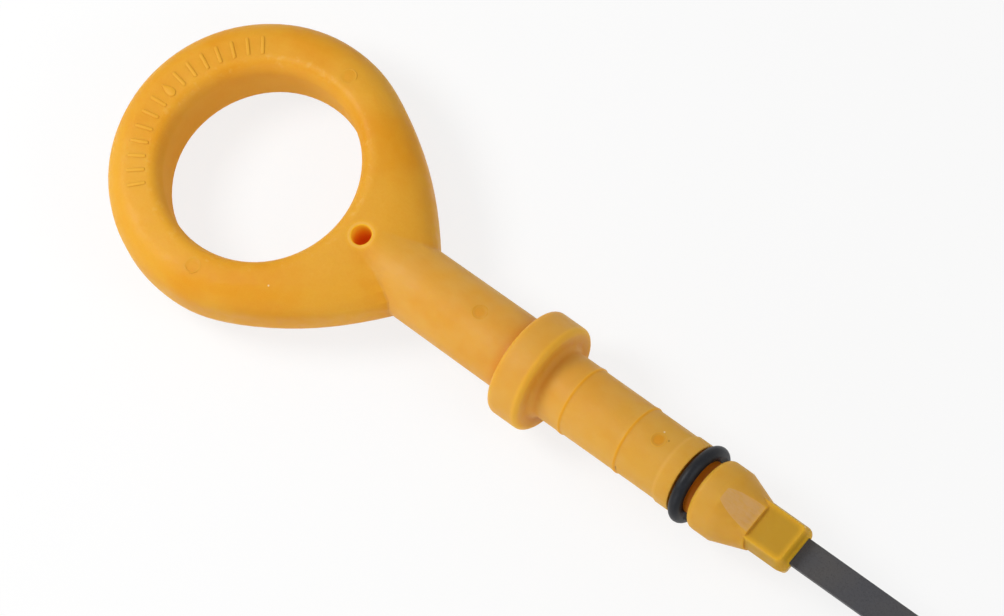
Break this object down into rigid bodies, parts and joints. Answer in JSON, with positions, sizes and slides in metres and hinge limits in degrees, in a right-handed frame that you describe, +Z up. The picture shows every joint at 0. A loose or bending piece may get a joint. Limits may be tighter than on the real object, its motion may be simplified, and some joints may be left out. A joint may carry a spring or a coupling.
{
  "type": "engine oil dipstick",
  "caption": "Engine oil dipstick: moulded finger-ring handle with a collar, a tapered plug and a rubber seal ring, on a flat steel blade.",
  "frame": {"origin": "on the stick's axis, in the plane of the collar's blade-side face", "axes": "+X along the stick to the blade's tip, +Z up and square to the finger ring, +Y across the ring"},
  "size_m": [0.3154, 0.042, 0.0162],
  "materials": {
    "handle": "satin yellow-orange moulding",
    "seal": "smooth black rubber",
    "blade": "dark grey, dull"
  },
  "bodies": {
    "root": {"handle": "handle", "seal": "seal", "blade": "blade"}
  },
  "joints": []
}
